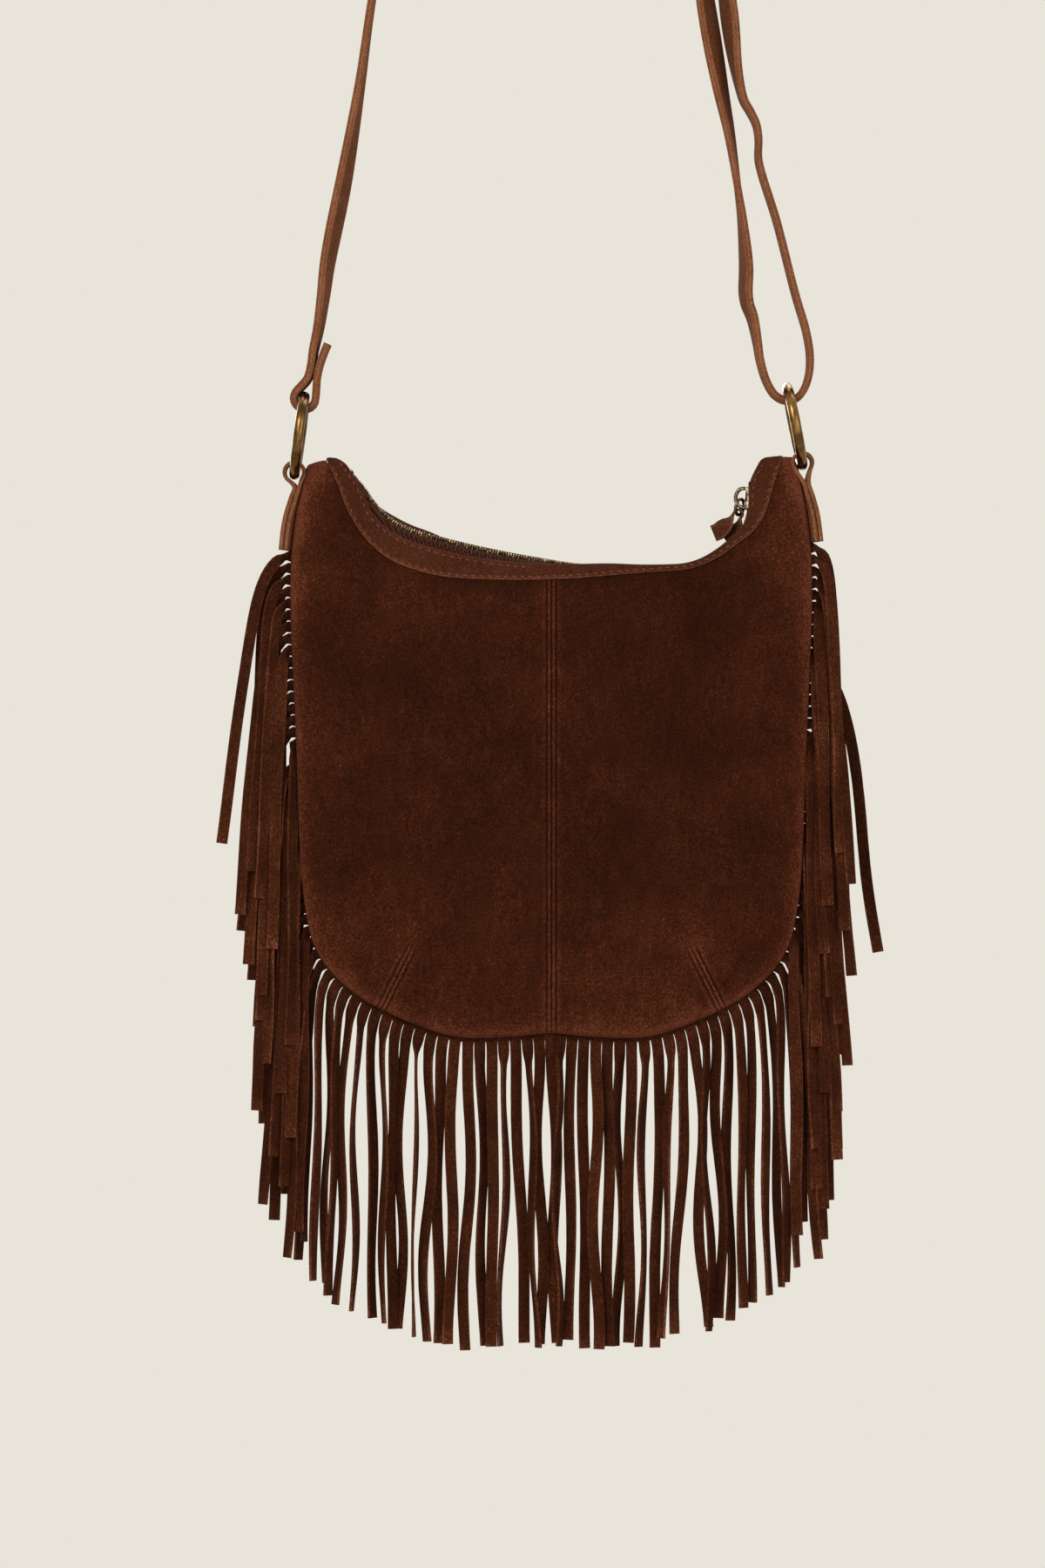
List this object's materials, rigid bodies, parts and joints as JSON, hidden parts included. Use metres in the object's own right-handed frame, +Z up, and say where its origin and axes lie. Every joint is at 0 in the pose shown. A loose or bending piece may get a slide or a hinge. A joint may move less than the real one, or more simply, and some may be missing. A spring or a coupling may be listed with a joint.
{
  "type": "fringed suede shoulder bag",
  "caption": "Flat suede shoulder bag with a curved zip top, long cut fringe round its sides and bottom, and a long strap on two metal rings.",
  "frame": {"origin": "underside of the strap's top, where it rests on the hook or shoulder that holds the bag up", "axes": "+Z up; +X to the bag's right-hand side as seen from its front; the front faces -Y"},
  "size_m": [0.3159, 0.0426, 0.9949],
  "materials": {
    "body_suede": "napped suede, very dark brown",
    "strap_suede": "napped suede, reddish tan brown",
    "fringe_suede": "napped suede, dark brown",
    "aged_brass": "antique, worn and darkened",
    "dark_brass_teeth": "darkened, worn bright on the tips",
    "zip_tape_cloth": "dark woven herringbone tape",
    "dark_nickel": "dark nickel plate"
  },
  "bodies": {
    "strap_body": {"strap": "strap_suede", "strap_slide": "aged_brass"},
    "left_ring_body": {"ring_left": "aged_brass"},
    "right_ring_body": {"ring_right": "aged_brass"},
    "bag_body": {"front_panel_left": "body_suede", "front_panel_right": "body_suede", "back_panel_left": "body_suede", "back_panel_right": "body_suede", "front_yoke": "body_suede", "back_yoke": "body_suede", "tab_left": "strap_suede", "tab_right": "strap_suede", "fringe": "fringe_suede", "zip_tape_front": "zip_tape_cloth", "zip_tape_back": "zip_tape_cloth", "zip_teeth_front": "dark_brass_teeth", "zip_teeth_back": "dark_brass_teeth", "zip_end_stop": "dark_brass_teeth", "zip_top_stop_front": "dark_brass_teeth", "zip_top_stop_back": "dark_brass_teeth"},
    "slider_body": {"zip_slider": "dark_nickel"},
    "pull_ring_body": {"zip_pull_ring": "dark_nickel"},
    "pull_body": {"zip_pull": "strap_suede"}
  },
  "joints": [
    {"name": "bag_swing", "type": "hinge", "parent": "strap_body", "child": "bag_body", "pos_m": [-0.1214, 0, -0.5516], "axis": [0.9998, 0, 0.0184], "range_deg": [-35, 35]},
    {"name": "ring_left_turn", "type": "hinge", "parent": "strap_body", "child": "left_ring_body", "pos_m": [-0.1214, 0, -0.5516], "axis": [0.9914, 0, -0.1305], "continuous": true},
    {"name": "ring_right_turn", "type": "hinge", "parent": "strap_body", "child": "right_ring_body", "pos_m": [0.1174, 0, -0.5472], "axis": [0.9816, 0, 0.1908], "continuous": true},
    {"name": "zip_travel", "type": "hinge", "parent": "bag_body", "child": "slider_body", "pos_m": [0.06, 0, -0.581], "axis": [0, 1, 0], "range_deg": [0, 80], "deforming": ["zip_teeth_front", "zip_teeth_back", "zip_tape_front", "zip_tape_back"]},
    {"name": "pull_ring_swing", "type": "hinge", "parent": "slider_body", "child": "pull_ring_body", "pos_m": [0.09157, 0, -0.58227], "axis": [0, 1, 0], "range_deg": [0, 70]},
    {"name": "pull_swing", "type": "hinge", "parent": "pull_ring_body", "child": "pull_body", "pos_m": [0.08974, 0, -0.59166], "axis": [0, 1, 0], "range_deg": [0, 40]}
  ]
}
